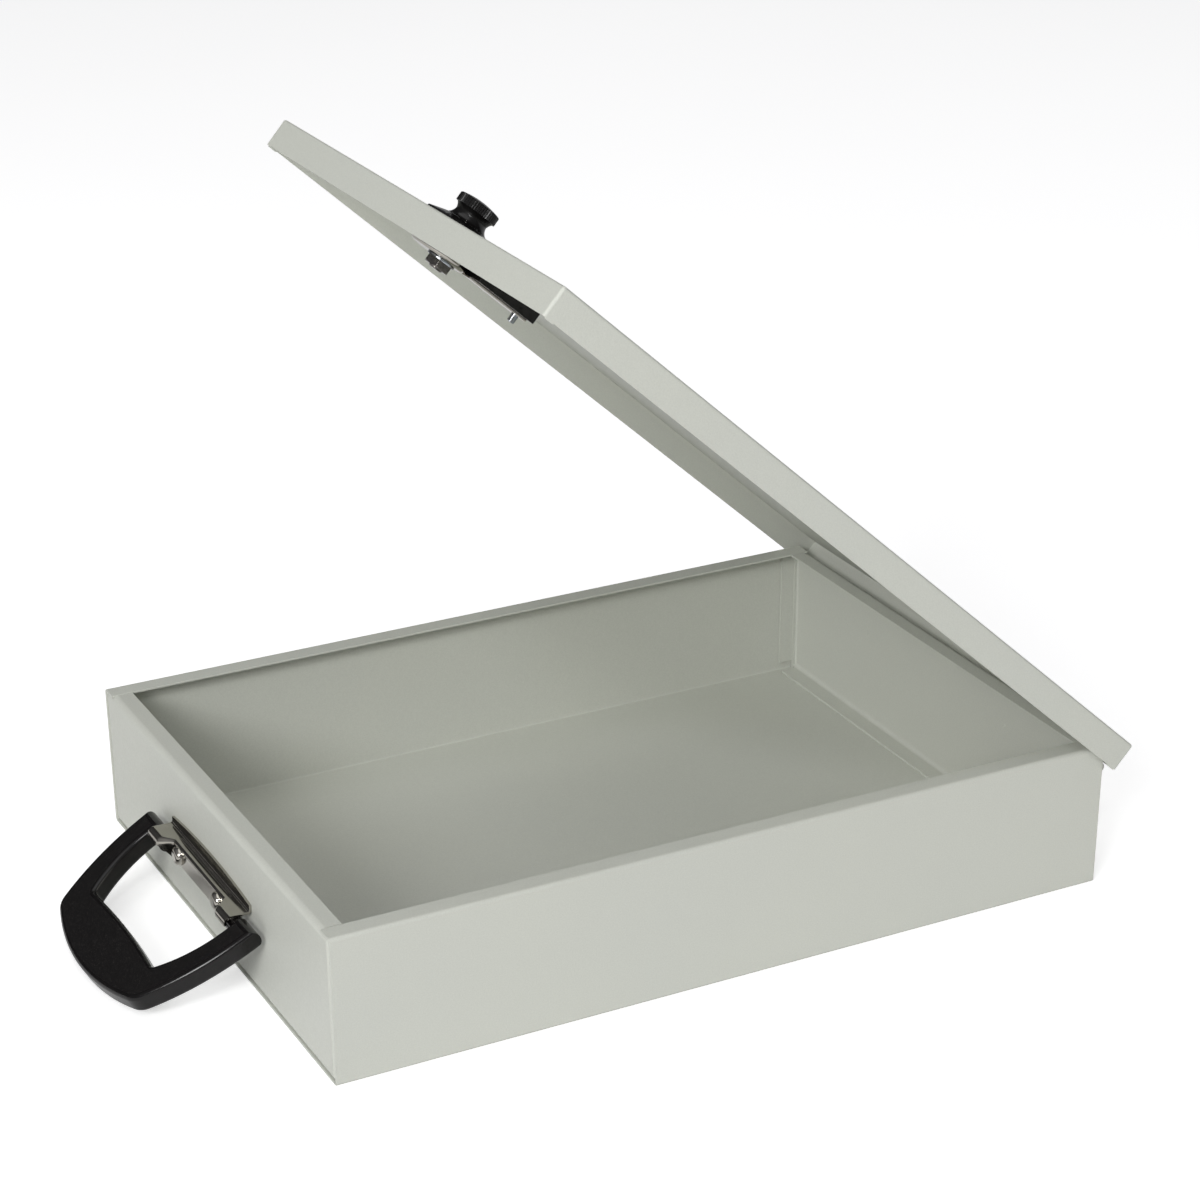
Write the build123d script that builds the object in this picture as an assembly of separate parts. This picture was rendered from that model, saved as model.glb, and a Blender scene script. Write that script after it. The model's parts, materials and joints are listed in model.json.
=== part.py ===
from build123d import *
import math
import os

# Steel document box, shown open: the lid stands part open on its piano hinge and the carrying
# handle hangs until its grip meets the table. Millimetres. X runs along the long side, with the
# handle at -X and the hinge at +X, Z is up, and the origin is the middle of the tray's underside.

os.makedirs("parts", exist_ok=True)

# Tray: a folded channel for floor and long walls, closed by two folded end walls
box_length = 345.0
box_width = 246.0
box_height = 63.5
sheet = 1.0
tray_bend = 1.6
tray_flange = 9.0
end_bend = 3.0
corner_tab = 10.0
tab_relief = 3.0
corner_relief = 0.9
weld_seam = 0.2
weld_width = 1.5
weld_sink = 0.6

# Lid: a shallow pan that overlaps the tray on all sides
lid_lift = 1.3
lid_front_overhang = 3.0
lid_side_overhang = 3.5
lid_skirt = 12.5
lid_bend = 1.1
lid_corner = 1.3
lid_corner_lip = 0.4
lid_corner_lip_length = 4.0
lid_opening = 42.0

# Piano hinge on the outside of the back wall
knuckle_radius = 2.2
pin_radius = 1.2
pin_clearance = 0.05
hinge_running_gap = 0.3
hinge_length = 236.0
knuckle_count = 15
knuckle_gap = 0.25
leaf_thickness = 0.8
leaf_standoff = 0.5
tray_leaf_drop = 12.0
lid_leaf_margin = 2.5

# Handle bracket, pressed from one sheet: top shelf, front plate, and a hood over each pivot
bracket_sheet = 1.0
bracket_half_length = 43.0
bracket_top = 36.0
bracket_shelf = 6.3
bracket_bend = 1.8
wall_bend = 0.9
flange_end_height = 38.7
flange_middle_height = 41.3
plate_bottom = 27.4
hood_root = 27.5
hood_start = 32.8
hood_reach = 11.8
hood_lip = 33.3
hood_corner = 3.0
root_corner = 1.5
groove_length = 56.0
groove_width = 1.8
groove_depth = 0.4
groove_place = 3.0
ear_inner = 33.6
ear_bottom = 27.0
ear_corner = 4.0
ear_gap = 0.4

# Rivets that hold the bracket
rivet_spacing = 43.0
rivet_height = 31.6
rivet_shank_radius = 2.5
rivet_shoulder_radius = 3.0
rivet_head_radius = 4.0
rivet_head_height = 2.4
rivet_dome = 2.2
rivet_tail_radius = 4.0
rivet_tail_height = 1.4
rivet_hole_clearance = 0.05

# Carrying handle: two splayed arms and a broad grip, swinging on two pins
handle_pivot_out = 6.5
handle_pivot_height = 31.0
handle_thickness = 8.6
handle_reach = 57.8
handle_edge_round = 2.0
arm_outer_pivot = 58.0
arm_outer_middle = (24.0, 54.4)
arm_outer_corner = (49.5, 44.0)
arm_inner_pivot = 44.5
arm_inner_middle = (17.0, 42.9)
arm_inner_corner = (35.5, 34.2)
grip_inner_edge = 34.0
grip_corner_round = 10.0
opening_corner_round = 3.0
stub_radius = 3.6
handle_pin_radius = 2.0
handle_pin_proud = 0.6
handle_pin_outer_end = 53.0
table_gap = 0.2

# Lock, standing through the lid near its front edge
lock_from_front = 26.0
lock_hole_radius = 5.0
rosette_radius = 16.2
rosette_rim = 1.8
rosette_top_radius = 9.6
rosette_top = 3.9
knob_gap = 0.3
knob_radius = 8.8
knob_waist_radius = 6.9
knob_foot_radius = 8.6
knob_waist_height = 7.2
knob_disc_bottom = 9.6
knob_disc_top = 13.2
knob_dome = 1.1
knob_lip = 0.4
knob_hollow = 0.4
knob_socket_extra = 1.0
knurl_count = 54
knurl_depth = 0.35
bush_radius = 4.9
bush_below = 5.0
bush_flange_radius = 6.8
bush_flange = 1.2
bush_nut_across = 14.0
bush_nut_height = 2.0
spindle_radius = 3.7
spindle_end_radius = 2.95
spindle_end_extra = 0.6
latch_radius = 12.2
latch_offset = 5.0
latch_sheet = 1.2
latch_bend = 1.6
latch_under_flange = 0.6
latch_drop = 12.0
washer_radius = 6.0
washer_height = 1.0
nut_across = 10.0
nut_height = 3.0
nut_bevel = 0.6
nut_corner_cut = 0.2
spindle_chamfer = 0.5
part_clearance = 0.05

# Click spring for the latch, on a plastic block held by two studs welded under the lid
block_front = 13.2
block_length = 30.6
block_width = 20.0
block_depth = 9.5
block_wall = 1.6
stud_boss_radius = 3.0
stud_radius = 1.6
stud_chamfer = 0.3
long_stud_place = 40.5
short_stud_place = 22.0
long_stud_end = 14.8
spring_sheet = 1.0
spring_tip = 43.2
spring_clamp = 33.0
spring_end = 12.6
spring_width = 10.0
spring_free_width = 6.5

# Places worked out from the sizes above
lid_underside = box_height + lid_lift
lid_top = lid_underside + sheet
skirt_bottom = lid_top - lid_skirt
hinge_x = box_length / 2 + knuckle_radius + hinge_running_gap
hinge_z = skirt_bottom - knuckle_radius - hinge_running_gap
lid_front = -box_length / 2 - lid_front_overhang
lid_back = box_length / 2 + leaf_standoff + leaf_thickness + sheet
lid_width = box_width + 2 * lid_side_overhang
hinge_axis = Axis((hinge_x, 0, hinge_z), (0, 1, 0))
lock_x = lid_front + lock_from_front
latch_top = lid_top - (box_height - sheet - latch_under_flange)
pivot_x = -box_length / 2 - handle_pivot_out
handle_half = handle_thickness / 2
stub_inner_end = ear_inner + bracket_sheet + ear_gap
handle_pin_inner_end = ear_inner - handle_pin_proud
edge_reach = math.hypot(handle_reach - handle_edge_round, handle_half - handle_edge_round)
edge_angle = math.atan2(handle_half - handle_edge_round, handle_reach - handle_edge_round)
edge_drop = handle_pivot_height - handle_edge_round - table_gap
handle_tilt = math.degrees(math.asin(edge_drop / edge_reach) - edge_angle)

touch = 0.01

LOW = (Align.CENTER, Align.CENTER, Align.MIN)
HIGH = (Align.CENTER, Align.CENTER, Align.MAX)
FROM_BACK = (Align.MIN, Align.CENTER, Align.MIN)
ALL_MIN = (Align.MIN, Align.MIN, Align.MIN)


def opened(shape):
    """Turn a piece of the closed lid about the hinge to where the lid stands."""
    return shape.rotate(hinge_axis, lid_opening)


def lock_place(height):
    """Place on the lock's axis, at a height over the closed lid's outer face."""
    return Pos(lock_x, 0, lid_top + height)


def tray_shell():
    """Floor and long walls in one sheet, with a flange turned in along each top."""
    block = Box(box_length, box_width, box_height, align=LOW)
    block = fillet(block.edges().filter_by(Axis.X), tray_bend)
    hollow = Box(box_length + 2 * sheet, box_width - 2 * sheet, box_height - 2 * sheet, align=LOW)
    hollow = Pos(0, 0, sheet) * fillet(hollow.edges().filter_by(Axis.X), tray_bend - sheet)
    mouth = Box(box_length + 2 * sheet, box_width - 2 * tray_flange, box_height, align=LOW)
    return block - hollow - Pos(0, 0, box_height / 2) * mouth


def end_wall():
    """Short wall at -X: a folded pan with a top flange, a floor tab and two welded corner tabs."""
    half = box_width / 2 - sheet - weld_seam
    height = box_height - sheet
    block = Box(corner_tab, 2 * half, height, align=FROM_BACK)
    block = fillet(block.faces().sort_by(Axis.X)[0].edges(), end_bend)
    hollow = Box(corner_tab, 2 * (half - sheet), height - 2 * sheet, align=FROM_BACK)
    hollow = fillet(hollow.faces().sort_by(Axis.X)[0].edges(), end_bend - sheet)
    wall = Pos(0, 0, sheet) * (block - Pos(sheet, 0, sheet) * hollow)
    over_flange = Box(corner_tab, 2 * half, 2 * sheet, align=FROM_BACK)
    wall -= Pos(tray_flange, 0, box_height - sheet - tray_bend / 2) * over_flange
    flange_half = box_width / 2 - tray_flange - weld_seam
    notch = Box(corner_tab, half - flange_half, 2 * sheet, align=ALL_MIN)
    relief = Box(corner_tab, tab_relief + sheet, tab_relief + sheet, align=ALL_MIN)
    corner = Box(corner_tab, corner_relief, corner_relief, align=ALL_MIN)
    weld = Box(end_bend - weld_sink, weld_width, height - end_bend, align=ALL_MIN)
    cuts = Pos(0, flange_half, box_height - sheet - weld_seam) * notch
    cuts += Pos(end_bend, half - tab_relief - sheet, sheet) * relief
    cuts += Pos(0, half - corner_relief, sheet) * corner
    welds = Pos(weld_sink, half - weld_width, sheet + end_bend / 2) * weld
    wall = wall + welds + mirror(welds, Plane.XZ) - cuts - mirror(cuts, Plane.XZ)
    return Pos(-box_length / 2, 0, 0) * wall


def handle_wall():
    """The end wall that carries the handle, with its two rivet holes."""
    wall = end_wall()
    for side in (-1, 1):
        hole = Cylinder(rivet_shank_radius + rivet_hole_clearance, 4 * sheet, rotation=(0, 90, 0))
        wall -= Pos(-box_length / 2, side * rivet_spacing / 2, rivet_height) * hole
    return wall


def hinge_wall():
    """The end wall that carries the hinge."""
    return mirror(end_wall(), Plane.YZ)


def knuckles(first):
    """Every other knuckle of the hinge barrel, as pairs of middle and length along Y."""
    pitch = hinge_length / knuckle_count
    start = -hinge_length / 2 + pitch / 2
    return [(start + i * pitch, pitch - knuckle_gap) for i in range(first, knuckle_count, 2)]


def hinge_leaf(first, face_x, low, high, up):
    """Leaf with its rolled knuckles; up is 1 for the lid's leaf and -1 for the tray's."""
    clear = knuckle_radius + hinge_running_gap
    near = hinge_z + up * clear
    plate_low = min(near, high) if up > 0 else low
    plate_high = high if up > 0 else near
    leaf = Pos(face_x, 0, plate_low) * Box(leaf_thickness, hinge_length, plate_high - plate_low,
                                           align=FROM_BACK)
    for middle, length in knuckles(first):
        tongue = Box(leaf_thickness, length, clear, align=FROM_BACK)
        tongue_low = hinge_z if up > 0 else hinge_z - clear
        roll = Cylinder(knuckle_radius, length, rotation=(90, 0, 0))
        leaf += Pos(face_x, middle, tongue_low) * tongue
        leaf += Pos(hinge_x, middle, hinge_z) * roll
    bore = Cylinder(pin_radius + pin_clearance, hinge_length + 2, rotation=(90, 0, 0))
    return leaf - Pos(hinge_x, 0, hinge_z) * bore


def hinge_tray_leaf():
    """Leaf on the outside of the hinge wall, below the barrel."""
    return hinge_leaf(0, box_length / 2, hinge_z - tray_leaf_drop, hinge_z, -1)


def hinge_lid_leaf():
    """Leaf on the inside of the lid's back skirt, above the barrel."""
    face_x = lid_back - sheet - leaf_thickness
    return opened(hinge_leaf(1, face_x, hinge_z, lid_underside - lid_leaf_margin, 1))


def hinge_pin():
    """Wire through all the knuckles."""
    return Pos(hinge_x, 0, hinge_z) * Cylinder(pin_radius, hinge_length, rotation=(90, 0, 0))


def lid_shell():
    """Folded and corner-welded pan, holed for the lock bush."""
    length = lid_back - lid_front
    middle = (lid_back + lid_front) / 2
    block = Box(length, lid_width, lid_skirt, align=LOW)
    block = fillet(block.edges().filter_by(Axis.Z), lid_corner)
    block = fillet(block.faces().sort_by(Axis.Z)[-1].edges(), lid_bend)
    hollow = Box(length - 2 * sheet, lid_width - 2 * sheet, lid_skirt - sheet, align=LOW)
    hollow = fillet(hollow.faces().sort_by(Axis.Z)[-1].edges(), lid_bend - sheet)
    pan = block - hollow
    lip = Box(lid_corner_lip_length, sheet, lid_corner_lip + sheet, align=ALL_MIN)
    for turn in (0, 180):
        place = Pos(-length / 2 + lid_corner, lid_width / 2 - sheet, -lid_corner_lip)
        front_lip = place * lip
        pan += Rot(0, 0, turn) * (front_lip + mirror(front_lip, Plane.YZ))
    pan = Pos(middle, 0, skirt_bottom) * pan
    hole = Cylinder(lock_hole_radius, 4 * sheet)
    return opened(pan - lock_place(0) * hole)


def bracket_block(inset):
    """Block as large as the bracket's outer faces, or drawn in to its sheet's inner faces."""
    turn = math.atan2(hood_reach - bracket_shelf, hood_start - hood_root)
    shift = inset * math.tan(turn / 2)
    end = bracket_half_length + inset
    front = (inset - hood_reach, hood_start + shift)
    root = (inset - bracket_shelf, hood_root + shift)
    half = [(inset, end), (front[0], end), front, root]
    plan = Polygon(*half, *[(x, -y) for x, y in reversed(half)], align=None)
    block = extrude(plan, bracket_top - inset)
    for corner, radius in ((front, hood_corner - inset), (root, root_corner + inset)):
        upright = [e for e in block.edges().filter_by(Axis.Z)
                   if abs(e.center().X - corner[0]) < touch
                   and abs(abs(e.center().Y) - corner[1]) < touch]
        block = fillet(upright, radius)
    rim = block.faces().sort_by(Axis.Z)[-1].edges()
    front_rim = [e for e in rim if abs(e.center().Y) < end - touch and e.center().X < -touch]
    return fillet(front_rim, bracket_bend - inset)


def wall_flange():
    """Rear of the bracket's shelf, bent up against the wall and arched along its top."""
    start = bracket_sheet + wall_bend
    low = bracket_top - bracket_sheet
    middle = (-start, bracket_top + wall_bend)
    section = make_face([
        Line((-start, low), (-start, bracket_top)),
        CenterArc(middle, wall_bend, -90, 90),
        Line((-bracket_sheet, middle[1]), (-bracket_sheet, flange_middle_height)),
        Line((-bracket_sheet, flange_middle_height), (0, flange_middle_height)),
        Line((0, flange_middle_height), (0, middle[1])),
        CenterArc(middle, start, 0, -90),
    ])
    end = bracket_half_length
    arch = make_face([
        Line((-end, 0), (end, 0)),
        Line((end, 0), (end, flange_end_height)),
        ThreePointArc((end, flange_end_height), (0, flange_middle_height), (-end, flange_end_height)),
        Line((-end, flange_end_height), (-end, 0)),
    ])
    return extrude(Plane.XZ * section, end, both=True) & extrude(Plane.YZ * arch, start, both=True)


def handle_bracket():
    """Pressed bracket: wall flange, shelf, front plate, and a hood with an ear at each pivot."""
    outer = bracket_block(0)
    end = 2 * bracket_half_length
    body = outer - bracket_block(bracket_sheet)
    body -= Box(2 * (bracket_sheet + wall_bend), 2 * end, 4 * bracket_top)
    body += wall_flange()
    half = [(end, 0), (end, hood_lip), (hood_start, hood_lip), (hood_root, plate_bottom)]
    under = Polyline(*half, *[(-y, z) for y, z in reversed(half)], close=True)
    body -= Pos(-bracket_sheet, 0, 0) * extrude(Plane.YZ * make_face(under), -2 * hood_reach)
    groove = extrude(Rot(0, 0, 90) * SlotOverall(groove_length, groove_width), -groove_depth)
    body -= Pos(-groove_place, 0, bracket_top) * groove
    for side in (-1, 1):
        ear_middle = side * (ear_inner + bracket_sheet / 2)
        ear = Box(hood_reach - bracket_sheet, bracket_sheet, bracket_top - ear_bottom,
                  align=(Align.MAX, Align.CENTER, Align.MIN))
        low = ear.edges().filter_by(Axis.Y).group_by(Axis.Z)[0].sort_by(Axis.X)
        ear = Pos(-bracket_sheet, ear_middle, ear_bottom) * fillet(low[0], ear_corner)
        body += ear & outer
        pin_hole = Cylinder(handle_pin_radius + part_clearance, 2 * bracket_sheet,
                            rotation=(90, 0, 0))
        body -= Pos(-handle_pivot_out, ear_middle, handle_pivot_height) * pin_hole
        rivet_hole = Cylinder(rivet_shank_radius + rivet_hole_clearance, 4 * bracket_shelf,
                              rotation=(0, 90, 0))
        body -= Pos(0, side * rivet_spacing / 2, rivet_height) * rivet_hole
    return Pos(-box_length / 2, 0, 0) * body


def bracket_rivets():
    """Two rivets: domed head on the front plate, shoulder behind it, and a tail inside the wall."""
    head = Cylinder(rivet_head_radius, rivet_head_height, align=LOW)
    head = fillet(head.edges().sort_by(Axis.Z)[-1], rivet_dome)
    shank = Cylinder(rivet_shank_radius, bracket_shelf + sheet, align=HIGH)
    shoulder = Cylinder(rivet_shoulder_radius, bracket_shelf - bracket_sheet, align=HIGH)
    tail = Cylinder(rivet_tail_radius, rivet_tail_height, align=HIGH)
    rivet = head + shank + Pos(0, 0, -bracket_sheet) * shoulder
    rivet = Rot(0, -90, 0) * (rivet + Pos(0, 0, -bracket_shelf - sheet) * tail)
    x = -box_length / 2 - bracket_shelf
    return [Pos(x, side * rivet_spacing / 2, rivet_height) * rivet for side in (-1, 1)]


def handle_outline():
    """Flat outline of the handle, reaching along -X from its pivots."""
    outer_end = (handle_half, arm_outer_pivot)
    outer_mid = (-arm_outer_middle[0], arm_outer_middle[1])
    corner = (-arm_outer_corner[0], arm_outer_corner[1])
    inner_end = (handle_half, arm_inner_pivot)
    inner_mid = (-arm_inner_middle[0], arm_inner_middle[1])
    inner_corner = (-arm_inner_corner[0], arm_inner_corner[1])

    def flip(point):
        return (point[0], -point[1])

    edges = [
        ThreePointArc(outer_end, outer_mid, corner),
        ThreePointArc(corner, (-handle_reach, 0), flip(corner)),
        ThreePointArc(flip(corner), flip(outer_mid), flip(outer_end)),
        Line(flip(outer_end), flip(inner_end)),
        ThreePointArc(flip(inner_end), flip(inner_mid), flip(inner_corner)),
        ThreePointArc(flip(inner_corner), (-grip_inner_edge, 0), inner_corner),
        ThreePointArc(inner_corner, inner_mid, inner_end),
        Line(inner_end, outer_end),
    ]
    face = make_face(edges)
    by_reach = face.vertices().sort_by(Axis.X)
    face = fillet(by_reach[:2], grip_corner_round)
    near = [v for v in face.vertices() if abs(v.X - inner_corner[0]) < touch]
    return fillet(near, opening_corner_round)


def handle_grip():
    """Moulded handle: outline with rounded edges, round pivot ends and inward stubs."""
    body = extrude(handle_outline(), handle_half, both=True)
    rims = body.faces().filter_by(Axis.Z)
    rim_edges = rims[0].edges() + rims[1].edges()
    rim_edges = [e for e in rim_edges if (e @ 0.5).X < handle_half - touch]
    body = fillet(rim_edges, handle_edge_round)
    reach = handle_reach + handle_thickness
    side_view = Pos(-reach / 2, 0) * Rectangle(reach, handle_thickness) + Circle(handle_half)
    body &= extrude(Plane.XZ * side_view, arm_outer_pivot, both=True)
    for side in (-1, 1):
        length = arm_inner_pivot + handle_edge_round - stub_inner_end
        stub = Cylinder(stub_radius, length, rotation=(90, 0, 0))
        body += Pos(0, side * (stub_inner_end + length / 2), 0) * stub
        bore_length = handle_pin_outer_end - stub_inner_end + 1
        bore = Cylinder(handle_pin_radius + part_clearance, bore_length, rotation=(90, 0, 0))
        body -= Pos(0, side * (handle_pin_outer_end - bore_length / 2), 0) * bore
    return handle_place(body)


def handle_pins():
    """Steel pins fixed in the handle's stubs, running in the bracket's ears."""
    pins = []
    for side in (-1, 1):
        length = handle_pin_outer_end - handle_pin_inner_end
        pin = Cylinder(handle_pin_radius, length, rotation=(90, 0, 0))
        pin = Pos(0, side * (handle_pin_inner_end + length / 2), 0) * pin
        pins.append(handle_place(pin))
    return pins


def handle_place(shape):
    """Tilt the handle down until its grip meets the table, and put it on its pivot."""
    return Pos(pivot_x, 0, handle_pivot_height) * (Rot(0, -handle_tilt, 0) * shape)


def lock_rosette():
    """Low cone round the knob, fixed to the lid's outer face."""
    outline = Polyline((bush_radius + part_clearance, 0), (rosette_radius, 0),
                       (rosette_radius, rosette_rim), (rosette_top_radius, rosette_top),
                       (bush_radius + part_clearance, rosette_top), close=True)
    cone = revolve(Plane.XZ * make_face(outline), Axis.Z)
    recess = Cylinder(bush_flange_radius + part_clearance, bush_flange, align=HIGH)
    return opened(lock_place(0) * (cone - Pos(0, 0, rosette_top) * recess))


def lock_bush():
    """Flanged bush through rosette and lid, with the bore that the spindle turns in."""
    length = rosette_top + sheet + bush_below
    bush = Cylinder(bush_radius, length, align=HIGH)
    bush += Cylinder(bush_flange_radius, bush_flange, align=HIGH)
    bush -= Cylinder(spindle_radius + part_clearance, 3 * length)
    return opened(lock_place(rosette_top) * bush)


def hexagon(across, height):
    """Hexagon nut blank with a bevelled lower rim, that hangs down from its place."""
    corner = across / math.sqrt(3) - nut_corner_cut
    outline = Polyline((0, 0), (corner, 0), (corner, nut_bevel - height), (across / 2, -height),
                       (0, -height), close=True)
    turned = revolve(Plane.XZ * make_face(outline), Axis.Z)
    return extrude(RegularPolygon(across / 2, 6, major_radius=False), -height) & turned


def bush_nut():
    """Flat nut that draws the bush tight under the lid."""
    nut = hexagon(bush_nut_across, bush_nut_height)
    nut -= Cylinder(bush_radius + part_clearance, 4 * bush_nut_height)
    return opened(lock_place(-sheet) * nut)


def knob():
    """Turned knob: flared foot, hollow waist and a knurled, slightly domed disc."""
    base = rosette_top + knob_gap
    dome_top = knob_disc_top + knob_dome
    lip = knob_lip
    socket = spindle_radius + part_clearance
    dome_rim = knob_radius - lip
    dome_ball = (dome_rim ** 2 + knob_dome ** 2) / (2 * knob_dome)
    dome_middle = (dome_rim / 2, dome_top - dome_ball + math.sqrt(dome_ball ** 2 - dome_rim ** 2 / 4))
    socket_top = knob_waist_height + knob_socket_extra
    edges = [
        Line((socket, base), (knob_foot_radius, base)),
        ThreePointArc((knob_foot_radius, base),
                      (knob_waist_radius + knob_hollow, (base + knob_waist_height) / 2),
                      (knob_waist_radius, knob_waist_height)),
        ThreePointArc((knob_waist_radius, knob_waist_height),
                      (knob_waist_radius + knob_hollow, (knob_waist_height + knob_disc_bottom) / 2),
                      (knob_radius - 2 * lip, knob_disc_bottom - lip / 2)),
        Line((knob_radius - 2 * lip, knob_disc_bottom - lip / 2), (knob_radius, knob_disc_bottom)),
        Line((knob_radius, knob_disc_bottom), (knob_radius, knob_disc_top - lip)),
        Line((knob_radius, knob_disc_top - lip), (knob_radius - lip, knob_disc_top)),
        ThreePointArc((knob_radius - lip, knob_disc_top), dome_middle, (0, dome_top)),
        Line((0, dome_top), (0, socket_top)),
        Line((0, socket_top), (socket, socket_top)),
        Line((socket, socket_top), (socket, base)),
    ]
    body = revolve(Plane.XZ * make_face(edges), Axis.Z)
    turns = [i * math.pi / knurl_count for i in range(2 * knurl_count)]
    radii = [knob_radius + knurl_depth / 4, knob_radius - knurl_depth] * knurl_count
    rim = [(r * math.cos(a), r * math.sin(a)) for r, a in zip(radii, turns)]
    knurled = extrude(Polygon(*rim, align=None), 2 * knob_disc_top)
    return opened(lock_place(0) * (body & knurled))


def lock_spindle():
    """Steel spindle from the knob's socket to the nut, stepped where it holds the latch."""
    top = knob_waist_height + knob_socket_extra
    shoulder = -latch_drop + latch_sheet
    end = -latch_drop - washer_height - nut_height - spindle_end_extra
    shaft = Pos(0, 0, top) * Cylinder(spindle_radius, top - shoulder, align=HIGH)
    tip = Cylinder(spindle_end_radius, shoulder - end, align=HIGH)
    tip = chamfer(tip.edges().sort_by(Axis.Z)[0], spindle_chamfer)
    return opened(lock_place(0) * (shaft + Pos(0, 0, shoulder) * tip))


def latch_cup():
    """Dished round plate set off its axis, whose rim turns under the tray's flange."""
    height = latch_drop - latch_top
    cup = Cylinder(latch_radius, height, align=LOW)
    cup = fillet(cup.edges().sort_by(Axis.Z)[0], latch_bend)
    hollow = Cylinder(latch_radius - latch_sheet, height, align=LOW)
    hollow = fillet(hollow.edges().sort_by(Axis.Z)[0], latch_bend - latch_sheet)
    cup = Pos(0, latch_offset, 0) * (cup - Pos(0, 0, latch_sheet) * hollow)
    cup -= Cylinder(spindle_end_radius + part_clearance, 4 * latch_sheet)
    return opened(lock_place(-latch_drop) * cup)


def latch_washer():
    """Plain washer under the latch cup."""
    ring = Cylinder(washer_radius, washer_height, align=HIGH)
    ring -= Cylinder(spindle_end_radius + part_clearance, 4 * washer_height)
    return opened(lock_place(-latch_drop) * ring)


def latch_nut():
    """Hexagon nut on the spindle's end."""
    nut = hexagon(nut_across, nut_height)
    nut -= Cylinder(spindle_end_radius + part_clearance, 4 * nut_height)
    return opened(lock_place(-latch_drop - washer_height) * nut)


def spring_block():
    """Plastic block under the lid, hollow from above, with two bosses for the studs."""
    block = Box(block_length, block_width, block_depth, align=(Align.MIN, Align.CENTER, Align.MAX))
    core = Box(block_length - 2 * block_wall, block_width - 2 * block_wall,
               block_depth - block_wall, align=(Align.MIN, Align.CENTER, Align.MAX))
    block = fillet(block.edges().filter_by(Axis.Z), block_wall / 2)
    body = Pos(block_front, 0, 0) * (block - Pos(block_wall, 0, 0) * core)
    for place in (long_stud_place, short_stud_place):
        body += Pos(place, 0, 0) * Cylinder(stud_boss_radius, block_depth, align=HIGH)
        body -= Pos(place, 0, 0) * Cylinder(stud_radius + part_clearance, 4 * block_depth)
    return opened(lock_place(-sheet) * body)


def block_studs():
    """Two studs welded under the lid: a short one, and a long one that holds the spring."""
    ends = ((long_stud_place, long_stud_end), (short_stud_place, sheet + block_depth))
    studs = []
    for place, end in ends:
        stud = Cylinder(stud_radius, end - sheet, align=HIGH)
        stud = chamfer(stud.edges().sort_by(Axis.Z)[0], stud_chamfer)
        studs.append(opened(lock_place(-sheet) * (Pos(place, 0, 0) * stud)))
    return studs


def click_spring():
    """Flat spring held under the block, tapered towards the side of the latch cup."""
    plan = Polygon((spring_end, -spring_free_width / 2), (spring_clamp, -spring_width / 2),
                   (spring_tip, -spring_width / 2), (spring_tip, spring_width / 2),
                   (spring_clamp, spring_width / 2), (spring_end, spring_free_width / 2),
                   align=None)
    spring = extrude(plan, -spring_sheet)
    spring -= Pos(long_stud_place, 0, 0) * Cylinder(stud_radius + part_clearance, 4 * spring_sheet)
    return opened(lock_place(-sheet - block_depth) * spring)


def main():
    """Build every piece and write one STEP file for each."""
    pieces = {
        "tray_shell": tray_shell(),
        "handle_wall": handle_wall(),
        "hinge_wall": hinge_wall(),
        "hinge_tray_leaf": hinge_tray_leaf(),
        "hinge_pin": hinge_pin(),
        "handle_bracket": handle_bracket(),
        "bracket_rivets": bracket_rivets(),
        "handle_grip": handle_grip(),
        "handle_pins": handle_pins(),
        "lid_shell": lid_shell(),
        "hinge_lid_leaf": hinge_lid_leaf(),
        "lock_rosette": lock_rosette(),
        "lock_bush": lock_bush(),
        "bush_nut": bush_nut(),
        "spring_block": spring_block(),
        "block_studs": block_studs(),
        "click_spring": click_spring(),
        "knob": knob(),
        "lock_spindle": lock_spindle(),
        "latch_cup": latch_cup(),
        "latch_washer": latch_washer(),
        "latch_nut": latch_nut(),
    }
    for name, shape in pieces.items():
        whole = Compound(children=list(shape)) if isinstance(shape, list) else shape
        export_step(whole, f"parts/{name}.step")
    print("Hinge axis at", hinge_x, hinge_z)
    print("Handle axis at", pivot_x, handle_pivot_height, "tilt", round(handle_tilt, 3))
    print("Knob axis through", opened(lock_place(0) * Vertex(0, 0, 0)).center())


main()
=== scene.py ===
import json
import math

import bpy
from mathutils import Matrix, Vector

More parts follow.
